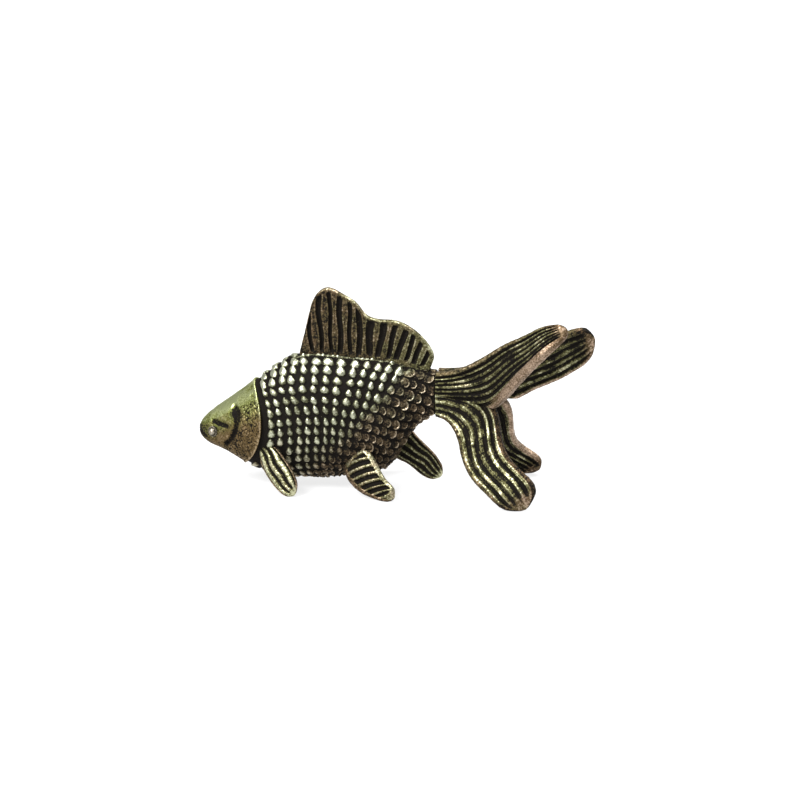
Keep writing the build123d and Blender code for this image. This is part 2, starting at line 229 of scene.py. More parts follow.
# How far a scale may be off its place, in pitches, and what tells the right side's scales from the left's
bead_play = 0.16
plate_play = 0.2
plate_reach_share = 0.58
right_side_salt = 40
# The highest mark of rubbing that a carving gives, and the distance within which points are one
top_relief = 1.2
weld_distance = 0.001 * mm
trunk_grid = (250, 390)


def scatter(column, row, salt):
    """A steady number from 0 to 1 for every scale, so that no two are cut alike."""
    return np.mod(np.sin(column * 12.9898 + row * 78.233 + salt * 37.719) * 43758.5453, 1)


def casting_noise(points, size):
    """Unevenness of a cast surface, between about -1 and 1, with lumps of a size."""
    return np.array([noise.noise(Vector(point) / size) for point in points])


def scale_places(turn, points):
    """Column and row numbers of the scales at points of the trunk, and the way up its side."""
    x, _, z = points.T
    low, high, half_width = body_at(x).T
    half_girth = pi * np.sqrt((((high - low) / 2) ** 2 + half_width**2) / 2)
    up_share = 1 - abs(2 * (turn % 1) - 1)
    level = low + (high - low) * widest_share + half_girth * (up_share - widest_share)
    row = np.hypot(x - fan_x, level - fan_height) / row_pitch
    fan_start = np.arctan2(gill_x - fan_x, gill_centre_height - fan_height)
    fan_end = np.arctan2(stem_x - fan_x, stem_centre_height - fan_height)
    fan_run = fan_radius * (np.arctan2(x - fan_x, level - fan_height) - fan_start)
    behind_gill = x - gill_line(np.clip(z, gill_centre_height - gill_bend, gill_centre_height + gill_bend))
    follow = np.clip(behind_gill / fan_blend, 0, 1)
    run = behind_gill * (1 - follow) + fan_run * follow
    tightening = (1 / rear_pitch - 1 / front_pitch) / (2 * fan_radius * (fan_end - fan_start))
    return run / front_pitch + tightening * run**2, row, up_share


def size_play(lot):
    """How large one scale is beside the rest."""
    return 0.85 + 0.3 * lot


def beads(column, row, side_salt, tall):
    """Teardrop domes with their points up, one where each column crosses a row."""
    near_column, near_row = np.round(column), np.round(row)
    lots = [scatter(near_column, near_row + side_salt, salt) for salt in range(5)]
    q = row - near_row + bead_play * (lots[0] - 0.5)
    p = column - near_column + bead_play * (lots[1] - 0.5) + bead_lean_share * q
    half_height = (bead_half_height_share + 0.12 * tall) * size_play(lots[2])
    point = 1 - bead_point_share * np.clip(q / half_height, -0.3, 1)
    half_width = bead_half_width_share * size_play(lots[3]) * point
    dome = np.clip(1 - (p / half_width) ** 2 - (q / half_height) ** 2, 0, 1)
    return np.sqrt(dome) * (0.75 + 0.35 * lots[4])


def rimmed_scales(column, row, side_salt):
    """Plates that overlap rearwards, each with a raised crescent, and a lot for the colour of each."""
    plates = np.zeros_like(column)
    bare = np.full(len(column), True)
    for step in (-1, 0, 1):
        k = np.round(column) + step
        level = np.round(row + 0.3 * (scatter(k, side_salt, 7) - 0.5))
        lots = [scatter(k, level + side_salt, salt) for salt in range(8, 12)]
        size = size_play(lots[2])
        q = (row - level + plate_play * (lots[0] - 0.5)) / (0.5 * size)
        p = column - k + plate_play * (lots[1] - 0.5) + 0.12 * q
        span = np.hypot(np.maximum(p, 0) / (plate_reach_share * size), q)
        inside = bare & (span < 1) & (p > -0.5)
        crescent = ridge(span, 0.78, 0.13) * ease(p, -0.2, 0.2) * (0.5 + 0.7 * lots[3]) * (1 - 0.4 * q)
        form = 0.17 + 0.22 * (p + 0.5) + 0.5 * crescent + 0.25 * ridge(span, 0.1, 0.3) * lots[2]
        plates = np.where(inside, form * (1 - 0.95 * ease(span, 0.86, 1.0)), plates)
        bare &= ~inside
    return plates, lots[1]


def trunk_carving(u, turn, points):
    """Beads behind the gills, which turn into rimmed scales towards the stem, and pearls under the sail."""
    x, _, z = points.T
    column, row, up_share = scale_places(turn, points)
    side_salt = np.where(turn % 1 < 0.5, 0, right_side_salt)
    tall = ease(up_share, 0.79, 0.85)
    plates, blush = rimmed_scales(column, row, side_salt)
    behind = x - rims_x - rims_slant * (z - rims_height)
    rimmed = ease(behind, rims_fade_start, rims_fade_end)
    relief = beads(column, row, side_salt, tall) * (1 - rimmed) + plates * rimmed
    under_sail = ease(stem_x - x, strip_rear, strip_rear + strip_fade)
    under_sail *= ease(x - gill_x, strip_front, strip_front + strip_fade)
    relief *= ease(x - gill_line(z), gill_recess, gill_recess + recess_fade)
    relief *= 1 - ease(up_share, strip_share - 0.02, strip_share - 0.01) * under_sail
    pearl = np.floor(x / strip_pitch)
    strip = ridge(up_share, strip_share + 0.014 * scatter(pearl, 0, 51), 0.012) * under_sail
    strip *= 0.35 + 0.75 * scatter(pearl, 0, 52) * np.sin(pi * x / strip_pitch) ** 2
    relief = np.maximum(relief, strip)
    covered = ease(u, seam_share, seam_share + 0.01) * (1 - ease(u, stem_share - 0.01, stem_share))
    rough = casting_noise(points, cast_lump)
    lift = (relief * scale_height - scale_bed_depth + rough * cast_roughness) * covered
    # The beads of the top rows are painted lighter: a painted highlight, as if lit from above
    relief = relief + 0.25 * tall * (relief > 0.2) * (1 - rimmed)
    # Browner and darker towards the belly: painted shade and a painted warm reflection on the lower flank;
    # the rimmed scales' brown and each plate's lot are the casting's own tone
    tone = 0.12 + 0.55 * rimmed + 0.45 * (1 - ease(up_share, 0.1, 0.6)) + 0.2 * (blush - 0.5)
    return lift, relief * covered, tone


def cast_grid(columns, rows, surface, carving):
    """A closed surface as a mesh of quads, lifted by its carving, with two masks for the finish, which also
    carry painted highlights and shade.
    """
    bm = bmesh.new()
    bmesh.ops.create_grid(bm, x_segments=columns, y_segments=rows, size=0.5)
    u, v = np.array([vert.co.xy for vert in bm.verts]).T + 0.5
    v = np.where(v > 1 - 1e-6, 0, v)
    points = surface(u, v)
    step = 1e-4
    lengthwise = surface(np.minimum(u + step, 1), v) - surface(np.maximum(u - step, 0), v)
    crosswise = surface(u, v + step) - surface(u, v - step)
    normals = np.cross(lengthwise, crosswise)
    normals /= np.maximum(np.linalg.norm(normals, axis=1), 1e-15)[:, None]
    lift, relief, tone = carving(u, v, points)
    points = points + normals * lift[:, None]
    relief_layer = bm.verts.layers.float.new("relief")
    tone_layer = bm.verts.layers.float.new("tone")
    for vert, point, height, warmth in zip(bm.verts, points, relief, tone):
        vert.co = point
        vert[relief_layer] = height
        vert[tone_layer] = warmth
    bmesh.ops.remove_doubles(bm, verts=bm.verts, dist=weld_distance)
    bmesh.ops.dissolve_degenerate(bm, edges=bm.edges, dist=weld_distance / 2)
    bmesh.ops.recalc_face_normals(bm, faces=bm.faces)
    return bm


def brass_piece(name, bm, material, node):
    """A finished piece that stands for its CAD node."""
    for face in bm.faces:
        face.smooth = True
    mesh = bpy.data.meshes.new(name)
    bm.to_mesh(mesh)
    bm.free()
    mesh.materials.append(material)
    piece = bpy.data.objects.new(name, mesh)
    bpy.context.scene.collection.objects.link(piece)
    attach(piece, "root")
    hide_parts(node)


class Shade:
    """A socket of a material. Sums of sockets add Math nodes, and add() makes every other node."""

    def __init__(self, tree, socket=None):
        self.tree = tree
        self.socket = socket

    def add(self, kind, settings, sockets, output=0):
        node = self.tree.nodes.new(kind)
        for key, value in settings.items():
            setattr(node, key, value)
        for key, value in sockets.items():
            if isinstance(value, Shade):
                self.tree.links.new(value.socket, node.inputs[key])
            else:
                node.inputs[key].default_value = value
        return Shade(self.tree, node.outputs[output] if node.outputs else None)

    def maths(self, operation, first, second):
        return self.add("ShaderNodeMath", {"operation": operation}, {0: first, 1: second})

    def __add__(self, other):
        return self.maths("ADD", self, other)

    def __radd__(self, other):
        return self.maths("ADD", other, self)

    def __sub__(self, other):
        return self.maths("SUBTRACT", self, other)

    def __rsub__(self, other):
        return self.maths("SUBTRACT", other, self)

    def __mul__(self, other):
        return self.maths("MULTIPLY", self, other)

    def __rmul__(self, other):
        return self.maths("MULTIPLY", other, self)


def soft_step(value, start, end):
    """A mask that eases from 0 at start to 1 at end."""
    sockets = {"Value": value, "From Min": start, "From Max": end}
    return value.add("ShaderNodeMapRange", {"interpolation_type": "SMOOTHSTEP"}, sockets)


def blend_colours(mask, first, second):
    """The first colour where the mask is 0 and the second where it is 1."""
    return mask.add("ShaderNodeMix", {"data_type": "RGBA"}, {0: mask, 6: first, 7: second}, 2)


patina_black = (0.006, 0.005, 0.004, 1)
mottle_size = 1.25 * mm
speck_size = mm / 6
bump_height = 0.03 * mm
# How far grain, mottle and specks move the edge of the wear, and mottle the colour
grain_sway = 1.1
mottle_sway = 0.6
speck_sway = 0.22
warmth_sway = 0.8


def antique_brass(name, greens, browns, wear, grain_size):
    """Blackened brass that is rubbed bright where the casting stands up, and lighter or browner where the
    masks paint highlights and shade; each pair is dull, then bright.
    """
    wear_start, wear_end = wear
    material = bpy.data.materials.new(name)
    material.use_nodes = True
    tree = material.node_tree
    tree.nodes.clear()
    shade = Shade(tree)
    place = shade.add("ShaderNodeTexCoord", {}, {}, "Object")
    relief = shade.add("ShaderNodeAttribute", {"attribute_name": "relief"}, {}, "Fac")
    tone = shade.add("ShaderNodeAttribute", {"attribute_name": "tone"}, {}, "Fac")
    grain = shade.add("ShaderNodeTexNoise", {}, {"Vector": place, "Scale": 1 / grain_size, "Detail": 3.0})
    mottle = shade.add("ShaderNodeTexNoise", {}, {"Vector": place, "Scale": 1 / mottle_size, "Detail": 2.0})
    speck = shade.add("ShaderNodeTexNoise", {}, {"Vector": place, "Scale": 1 / speck_size, "Detail": 1.0})
    height = relief + (grain - 0.5) * grain_sway + (mottle - 0.5) * mottle_sway
    height = height + soft_step(speck, 0.62, 0.72) * speck_sway
    rubbed = soft_step(height, wear_start, wear_end)
    bright = soft_step(height, wear_end - 0.05, wear_end + 0.5)
    warmth = soft_step(tone + (mottle - 0.5) * warmth_sway, 0.1, 0.9)
    dull = blend_colours(warmth, greens[0], browns[0])
    polished = blend_colours(warmth, greens[1], browns[1])
    colour = blend_colours(rubbed, patina_black, blend_colours(bright, dull, polished))
    bump = shade.add("ShaderNodeBump", {}, {"Strength": 0.6, "Distance": bump_height, "Height": grain})
    surface = shade.add(
        "ShaderNodeBsdfPrincipled",
        {},
        {
            "Base Color": colour,
            "Metallic": rubbed,
            "Roughness": 0.62 - bright * 0.27 + (grain - 0.5) * 0.3,
            "Specular IOR Level": 0.03,
            "Normal": bump,
        },
    )
    shade.add("ShaderNodeOutputMaterial", {}, {"Surface": surface})
    return material


scale_greens = ((0.10, 0.10, 0.055, 1), (0.52, 0.54, 0.40, 1))
scale_browns = ((0.085, 0.060, 0.034, 1), (0.44, 0.36, 0.26, 1))
scale_wear = (0.28, 0.55)
scale_grain = 0.22 * mm
scaled_brass = antique_brass("scaled_brass", scale_greens, scale_browns, scale_wear, scale_grain)
trunk_mesh = cast_grid(*trunk_grid, trunk_surface, trunk_carving)
tang_place = Matrix.Translation((stem_x + tang_length / 2 - tang_corner, 0, stem_centre_height))
tang_stretch = Matrix.Diagonal((tang_length, tang_thickness, tang_height, 1))
tang = bmesh.ops.create_cube(trunk_mesh, size=1, matrix=tang_place @ tang_stretch)["verts"]
tang_edges = {edge for vert in tang for edge in vert.link_edges}
bmesh.ops.bevel(
    trunk_mesh,
    geom=list(tang_edges),
    offset=tang_corner,
    offset_type="OFFSET",
    affect="EDGES",
    segments=3,
    profile=0.5,
    material=-1,
)
brass_piece("scaled_trunk", trunk_mesh, scaled_brass, "trunk")

# Head
# A separate casting with a smooth forehead and stippled cheeks. Its proud gill rim overlaps the front of the
# trunk, and a round spigot behind it is soldered into the trunk.
gill_step = 0.3 * mm
nose_round = 0.55 * mm
rim_lip = 0.1 * mm
rim_share = 0.94
cheek_radius = 4.2 * mm
cheek_groove_width = 0.5 * mm
cheek_groove_depth = 0.38 * mm
cheek_start = radians(-48)
cheek_end = radians(20)
wedge_angle = radians(13)
stipple_height = 0.09 * mm
stipple_size = 0.42 * mm
eye_x = nose_x + 2.05 * mm
eye_height = 6.3 * mm
head_grid = (220, 280)
rim_fade = 0.005
lip_setback = 0.1 * mm
lip_half_width = 0.2 * mm
# Where the stippled plate behind the groove starts, and how far back the front of the cheek lies
plate_start = cheek_radius + 0.2 * mm
plate_end = cheek_radius + 0.5 * mm
cheek_x = eye_x + 2 * mm
# Strokes cut in the side of the head
brow_start = (eye_x + 0.1 * mm, eye_height + 1.2 * mm)
brow_end = (eye_x + 1.8 * mm, eye_height + 0.95 * mm)
brow_half_width = 0.24 * mm
brow_depth = 0.22 * mm
mouth_start = (nose_x, eye_height - 0.15 * mm)
mouth_corner = (nose_x + 1.1 * mm, eye_height - 0.8 * mm)
mouth_half_width = 0.15 * mm
mouth_depth = 0.2 * mm
# The crease that parts the forehead from the cheek: its heights at the nose, at the eye and at the gill
crease_heights = (eye_height, eye_height + 1.3 * mm, eye_height + 5.0 * mm)
crease_lift = 0.1 * mm
crease_half_width = 0.4 * mm
forehead_start = -0.2 * mm
forehead_end = 0.35 * mm
forehead_lump = 0.9 * mm
forehead_lump_height = 0.04 * mm
# A painted highlight: a bright band on the forehead, this far above the crease and this wide
painted_highlight_rise = 1.1 * mm
painted_highlight_half_width = 1.0 * mm
snout_start = nose_x + 0.3 * mm
snout_end = nose_x + 2.4 * mm
# Below the crease the colour turns from green to a darker brown between these depths: painted shade and a
# painted warm reflection on the lower faces of the head
browning_start = 0.3 * mm
browning_end = 3.5 * mm


def head_form(x, turn):
    """The body in front of the gill seam: proud of the trunk behind, blunt and round at the nose."""
    share = np.clip((x - nose_x) / head_length, 0, 1)
    points = body_points(x, turn, gill_step * share**2)
    low, high, _ = body_at(x).T
    middle = (low + high) / 2
    blunt = np.sqrt(np.clip(1 - (1 - np.clip((x - nose_x) / nose_round, 0, 1)) ** 2, 0, 1))
    points[:, 1] *= blunt
    points[:, 2] = middle + (points[:, 2] - middle) * blunt
    return points


def head_surface(u, turn):
    """The head from the nose to the gill rim, and round the rim down to the seam face."""
    reach = np.interp(u, (0, rim_share, 1), (0, 1, 2))
    along = np.clip(reach, 0, 1) ** 1.25
    x = nose_x + head_length * along
    for _ in range(16):
        rim_x = gill_line(head_form(x, turn)[:, 2])
        x = (x + nose_x + (rim_x - nose_x) * along) / 2
    points = head_form(x, turn)
    shrink = np.minimum(1, 2 - reach)
    points[:, 1] *= shrink
    points[:, 2] = gill_centre_height + (points[:, 2] - gill_centre_height) * shrink
    points[:, 0] = np.where(reach > 1, gill_line(points[:, 2]), points[:, 0])
    return points


def stroke(x, z, start, end, width):
    """1 along a straight stroke on the side of the head, fading out over its width."""
    run = np.subtract(end, start)
    share = np.clip(((x - start[0]) * run[0] + (z - start[1]) * run[1]) / (run @ run), 0, 1)
    away = np.hypot(x - start[0] - run[0] * share, z - start[1] - run[1] * share)
    return ridge(away, 0, width)


def head_carving(u, turn, points):
    """Gill lip, cheek groove, brow, mouth, the stippled cheek plate, a painted highlight on the forehead and
    painted shade below the crease.
    """
    x, _, z = points.T
    from_gill = np.hypot(x - gill_centre_x, z - gill_centre_height)
    gill_angle = np.arctan2(z - gill_centre_height, x - gill_centre_x)
    shown = 1 - ease(u, rim_share - rim_fade, rim_share + rim_fade)
    lip = ridge(from_gill, gill_radius - lip_setback, lip_half_width)
    groove_width = cheek_groove_width / 2 * (1 + 0.9 * ridge(gill_angle, wedge_angle, 0.14))
    groove = ridge(from_gill, cheek_radius, groove_width)
    groove *= ease(gill_angle, cheek_start - 0.08, cheek_start)
    groove *= 1 - ease(gill_angle, cheek_end, cheek_end + 0.15)
    brow = stroke(x, z, brow_start, brow_end, brow_half_width)
    mouth = stroke(x, z, mouth_start, mouth_corner, mouth_half_width)
    crease_z = np.interp(x, (nose_x, eye_x, gill_x), crease_heights)
    forehead = ease(z - crease_z, forehead_start, forehead_end)
    crease = ridge(z, crease_z, crease_half_width) * ease(x, eye_x, cheek_x)
    behind_groove = ease(from_gill, plate_start, plate_end)
    towards_gill = ease(x, cheek_x, gill_x)
    lumps = casting_noise(points, forehead_lump)
    curls = ridge(casting_noise(points, stipple_size), 0, 0.13)
    curls *= (1 - forehead) * (0.35 + 0.65 * behind_groove) + 0.5 * forehead * towards_gill
    lift = crease_lift * crease + rim_lip * lip - stipple_height * curls
    lift += forehead_lump_height * lumps * forehead
    lift -= cheek_groove_depth * groove + brow_depth * brow + mouth_depth * mouth
    dark = np.maximum(np.maximum(groove, 0.8 * brow), mouth)
    snout = 1 - ease(x, snout_start, snout_end)
    # A painted highlight: a bright band along the forehead above the crease, weaker towards the gill
    painted_highlight = ridge(z - crease_z, painted_highlight_rise, painted_highlight_half_width) * (1 - 0.5 * towards_gill)
    relief = 0.46 + (0.45 * painted_highlight - 0.1 + 0.25 * lumps) * forehead + 0.4 * lip
    relief -= 0.45 * curls + 1.1 * dark + 0.3 * snout
    # Painted light and shade: the forehead is greener, and below the crease the head turns browner and
    # darker
    tone = 0.35 + 0.6 * ease(crease_z - z, browning_start, browning_end) - 0.35 * forehead
    return lift * shown, np.clip(relief, 0, top_relief) * shown, tone


head_greens = ((0.12, 0.13, 0.035, 1), (0.50, 0.54, 0.27, 1))
head_browns = ((0.11, 0.074, 0.030, 1), (0.36, 0.27, 0.16, 1))
head_wear = (0.10, 0.42)
head_grain = 0.16 * mm
rubbed_brass = antique_brass("rubbed_brass", head_greens, head_browns, head_wear, head_grain)
head_mesh = cast_grid(*head_grid, head_surface, head_carving)
brass_piece("stippled_head", head_mesh, rubbed_brass, "head")

# Eyes
# Small turned brass beads, each standing in a stepped ring. A peg behind the ring holds it in the side of
# the head.
eye_ring_radius = 0.66 * mm
eye_ring_height = 0.16 * mm
eye_ball_radius = 0.44 * mm
eye_ball_height = 0.4 * mm
eye_seat_depth = 0.3 * mm
eye_dip_radius = eye_ball_radius * 1.08
eye_dip_half_width = 0.07 * mm
eye_edge_half_width = 0.05 * mm
eye_ball_steps = 8
eye_spin_steps = 40
eye_profile_shares = [(0, -1), (1, -1), (1, 0.55), (0.94, 0.9), (0.86, 1.0), (0.76, 0.8), (0.7, 0.3)]


def eye_mesh(place, facing):
    """The ring, the dip inside it and the bead, spun about the way the eye faces."""
    bm = bmesh.new()
    profile = [
        (eye_ring_radius * r, eye_ring_height * h if h > 0 else eye_seat_depth * h)
        for r, h in eye_profile_shares
    ]
    for step in range(eye_ball_steps + 1):
        turn = pi / 2 * step / eye_ball_steps
        profile.append((eye_ball_radius * cos(turn), eye_ring_height / 2 + eye_ball_height * sin(turn)))
    verts = [bm.verts.new((r, 0, h)) for r, h in profile]
    edges = [bm.edges.new(pair) for pair in zip(verts, verts[1:])]
    bmesh.ops.spin(
        bm,
        geom=verts + edges,
        cent=(0, 0, 0),
        axis=(0, 0, 1),
        angle=2 * pi,
        steps=eye_spin_steps,
        use_merge=True,
    )
    bmesh.ops.remove_doubles(bm, verts=bm.verts, dist=weld_distance)
    relief_layer = bm.verts.layers.float.new("relief")
    tone_layer = bm.verts.layers.float.new("tone")
    for vert in bm.verts:
        radius = vert.co.xy.length
        dip = ridge(radius, eye_dip_radius, eye_dip_half_width)
        dip += ridge(radius, eye_ring_radius, eye_edge_half_width)
        vert[relief_layer] = 0.75 - 0.5 * dip
        vert[tone_layer] = 0.6
    bmesh.ops.transform(bm, matrix=facing.to_track_quat("Z", "Y").to_matrix().to_4x4(), verts=bm.verts)
    bmesh.ops.translate(bm, vec=place, verts=bm.verts)
    bmesh.ops.recalc_face_normals(bm, faces=bm.faces)
    return bm


eye_greens = ((0.12, 0.11, 0.08, 1), (0.46, 0.45, 0.38, 1))
eye_browns = ((0.12, 0.10, 0.07, 1), (0.46, 0.40, 0.32, 1))
eye_wear = (0.15, 0.5)
eye_grain = 0.15 * mm
eye_brass = antique_brass("eye_brass", eye_greens, eye_browns, eye_wear, eye_grain)
ring_turns = np.linspace(0.02, 0.48, 300)
eye_ring = head_form(np.full_like(ring_turns, eye_x), ring_turns)
eye_turn = np.interp(eye_height, eye_ring[:, 2], ring_turns)
nudge = 1e-3
eye_spots = head_form(
    np.array([eye_x, eye_x + nudge * mm, eye_x]), np.array([eye_turn, eye_turn, eye_turn + nudge])
)
eye_place = Vector(eye_spots[0])
eye_facing = Vector(np.cross(eye_spots[1] - eye_spots[0], eye_spots[2] - eye_spots[0])).normalized()
for side_name, side in (("left", 1), ("right", -1)):
    flip = Vector((1, side, 1))
    bm = eye_mesh(eye_place * flip, eye_facing * flip)
    brass_piece(f"{side_name}_eye_bead", bm, eye_brass, f"{side_name}_eye")

# Dorsal fin
# A thick cast sail whose rays are parted by deep dark grooves below a thin rim with a painted highlight.
# Its blade tenon is soldered into a slot along the back.
dorsal_setback = 0.4 * mm
dorsal_length = 16.4 * mm
dorsal_height = 8.4 * mm
dorsal_thickness = 1.3 * mm
dorsal_seat_depth = 1.2 * mm
dorsal_grooves = 13
dorsal_groove_depth = 0.36 * mm
dorsal_groove_half_share = 0.27
dorsal_rim_width = 0.5 * mm
groove_front_share = 0.107
groove_rear_share = 0.933
groove_wave = 0.9 * mm
groove_wander = 0.07
# Above the back, the heights between which the grooves open
groove_foot_start = 0.1 * mm
groove_foot_end = 0.6 * mm
# A painted highlight along the rim: its width, and the size of the patches that break it up
painted_rim_highlight_width = 0.2 * mm
rim_highlight_patch = 1.5 * mm
sail_lump = 0.35 * mm
sail_roughness = 0.04 * mm
# How the sail's grid crowds towards its foot, and how its faces thin and close at the rim and at both ends
sail_crowding = 0.8
sail_taper = 0.35
sail_edge_share = 0.28
sail_end_share = 0.02
sail_grid = (340, 140)
# How far the rays lean back, as a slope, at shares of the sail's length
ray_lean_shares = ((0.1, -0.16), (0.2, -0.05), (0.48, 0.0), (0.67, 0.27), (0.93, 0.4))
dorsal_outline_shares = [
    (0.0, 0.0),
    (0.045, 0.38),
    (0.075, 0.64),
    (0.13, 0.91),
    (0.195, 1.0),
    (0.32, 0.92),
    (0.435, 0.77),
    (0.487, 0.64),
    (0.54, 0.585),
    (0.71, 0.56),
    (0.86, 0.425),
    (0.96, 0.225),
    (1.0, 0.035),
    (0.985, -0.07),
]
dorsal_x = stem_x - dorsal_setback - dorsal_length
sail_base = body_at(np.array([dorsal_x]))[0, 1]
sail_outline = np.array(dorsal_outline_shares) * (dorsal_length, dorsal_height) + (dorsal_x, sail_base)
sail_places = np.cumsum([0, *np.hypot(*np.diff(sail_outline, axis=0).T)])
sail_edge_at = curve_through(sail_places / sail_places[-1], sail_outline)
# The foot of a line up the sail, as a share of its length, for its end on the outline
sail_foot_at = curve_through(
    (0, 0.2, 0.4, 0.6, 0.8, 1), [(0.03,), (0.1,), (0.27,), (0.46,), (0.74,), (0.95,)]
)


def sail_lines(u):
    """Foot and end of lines up the sail at places along the outline."""
    end = sail_edge_at(u)
    foot_x = dorsal_x + dorsal_length * sail_foot_at(u)[:, 0]
    foot_z = body_at(foot_x)[:, 1] - dorsal_seat_depth
    return np.column_stack((foot_x, foot_z)), end


def sail_surface(u, turn):
    """Up the left face of the sail, over its rim and down the right face."""
    turn = turn % 1
    foot, end = sail_lines(u)
    up = np.sin(pi * turn) ** sail_crowding
    half_width = dorsal_thickness / 2 * (1 - sail_taper * up**2)
    edge = np.clip(abs(np.cos(pi * turn)) / sail_edge_share, 0, 1)
    y = np.where(turn < 0.5, -1, 1) * half_width * np.sqrt(1 - (1 - edge) ** 2)
    line = foot + (end - foot) * up[:, None]
    ends = np.clip(np.minimum(u, 1 - u) / sail_end_share, 0, 1)
    return np.column_stack((line[:, 0], y * np.sqrt(1 - (1 - ends) ** 2), line[:, 1]))


def sail_carving(u, turn, points):
    """Grooves between the rays, fanning out from the back and stopping short of the rim, and a painted
    highlight along the rim.
    """
    x, _, z = points.T
    foot, end = sail_lines(u)
    height = np.hypot(*(end - foot).T)
    up = np.sin(pi * (turn % 1)) ** sail_crowding
    under_rim = np.minimum((1 - up) * height, np.minimum(u, 1 - u) * sail_places[-1])
    ray_share = (x - dorsal_x) / dorsal_length
    for _ in range(8):
        lean = np.interp(ray_share, *zip(*ray_lean_shares))
        ray_share = (x - lean * (z - sail_base) - dorsal_x) / dorsal_length
    back_z = body_at(np.clip(x, dorsal_x, stem_x))[:, 1]
    groove_run = (ray_share - groove_front_share) / (groove_rear_share - groove_front_share)
    place = groove_run * (dorsal_grooves - 1)
    nearest = np.round(place)
    wander = groove_wander * np.sin(z / groove_wave + 3 * nearest)
    half_share = dorsal_groove_half_share * (0.75 + 0.5 * scatter(nearest, 0, 21))
    off = abs(place - nearest + wander)
    groove = np.clip(1 - off / half_share, 0, 1) ** 0.5
    open_ground = ease(under_rim, dorsal_rim_width * 0.6, dorsal_rim_width * 1.4)
    open_ground *= ease(z - back_z, groove_foot_start, groove_foot_end)
    open_ground *= (nearest >= 0) & (nearest < dorsal_grooves)
    groove *= open_ground
    lined = ridge(off, half_share + 0.07, 0.05) * open_ground
    rough = casting_noise(points, sail_lump)
    # A painted highlight along the rim, broken into patches
    rim = ridge(under_rim, 0, painted_rim_highlight_width) * (0.35 + casting_noise(points, rim_highlight_patch))
    rim = np.clip(rim, 0, 1)
    lift = sail_roughness * rough - dorsal_groove_depth * groove
    lift *= ease(np.minimum(u, 1 - u), 0.01, 0.03)
    relief = 0.34 + 0.14 * ease(ray_share, 0.5, 0.8) + 0.6 * rim + 0.25 * rough + 0.22 * lined - groove
    tone = 0.75 - 0.5 * ray_share - 0.2 * rim
    return lift, np.clip(relief, 0, top_relief), tone


fin_greens = ((0.10, 0.094, 0.040, 1), (0.54, 0.545, 0.35, 1))
fin_browns = ((0.10, 0.066, 0.036, 1), (0.42, 0.31, 0.225, 1))
fin_wear = (0.22, 0.55)
fin_grain = 0.2 * mm
fin_brass = antique_brass("fin_brass", fin_greens, fin_browns, fin_wear, fin_grain)
sail_mesh = cast_grid(*sail_grid, sail_surface, sail_carving)
brass_piece("rayed_dorsal_fin", sail_mesh, fin_brass, "dorsal_fin")

# Pectoral fins
# Narrow cast leaves behind the gill rim, with bright ridges from root to tip. Each is soldered into a socket
# and stands on its tip.
fin_root_height_share = 0.8
fin_squareness = 0.7
edge_crowding = 0.28
valley_depth_share = 0.45
fin_lump = 0.3 * mm
fin_roughness = 0.03 * mm
fin_grid = (140, 180)
leaf_root_share = 0.015
tip_round_share = 0.6
# What tells the ridges of a leaf's second face from those of its first
second_face_salt = 5
pectoral_rib_half_share = 0.32
pectoral_brightness = 0.9
pectoral_setback = 0.4 * mm
pectoral_reach = 4.5 * mm
pectoral_root_height = 5.5 * mm
pectoral_stance = 6.8 * mm
pectoral_thickness = 1.3 * mm
pectoral_ribs = 3
# Pairs of points on the leading and trailing edges, root first: shares of the reach, of the way out from the
# trunk to the stance and of the height; then a share of the thickness
pectoral_shares = [
    ((-0.16, -0.24, 0.80), (0.02, -0.24, 1.03), 0.8),
    ((-0.08, 0.14, 0.605), (0.30, 0.14, 0.98), 1.0),
    ((0.15, 0.45, 0.32), (0.58, 0.45, 0.775), 1.0),
    ((0.425, 0.72, 0.10), (0.83, 0.72, 0.53), 0.9),
    ((0.66, 0.90, 0.0), (0.96, 0.90, 0.31), 0.8),
    ((0.835, 1.0, -0.03), (1.0, 1.0, 0.147), 0.5),
]


def flank_y(x, z):
    """Half the trunk's width at a height."""
    turns = np.linspace(0.01, 0.49, 200)
    ring = body_points(np.full_like(turns, x), turns, 0)
    return np.interp(z, ring[:, 2], -ring[:, 1])


def paired_fin_edges(shares, setback, reach, root_height, stance, side, tip_height):
    """The two edges of a fin from the trunk's side down to its tip."""
    root_x = gill_x + setback
    root_y = flank_y(root_x, root_height * fin_root_height_share)
    edges = []
    for *ends, share in shares:
        row = [
            (
                root_x + reach * back,
                side * (root_y + (stance - root_y) * out),
                tip_height + (root_height - tip_height) * up,
            )
            for back, out, up in ends
        ]
        edges.append((*row[0], *row[1], share))
    return np.array(edges)


def leaf_angle(turn):
    """The way round a leaf's section from its trailing edge, with more steps along the narrow edges."""
    return 2 * pi * (turn % 1) - edge_crowding * np.sin(4 * pi * (turn % 1))


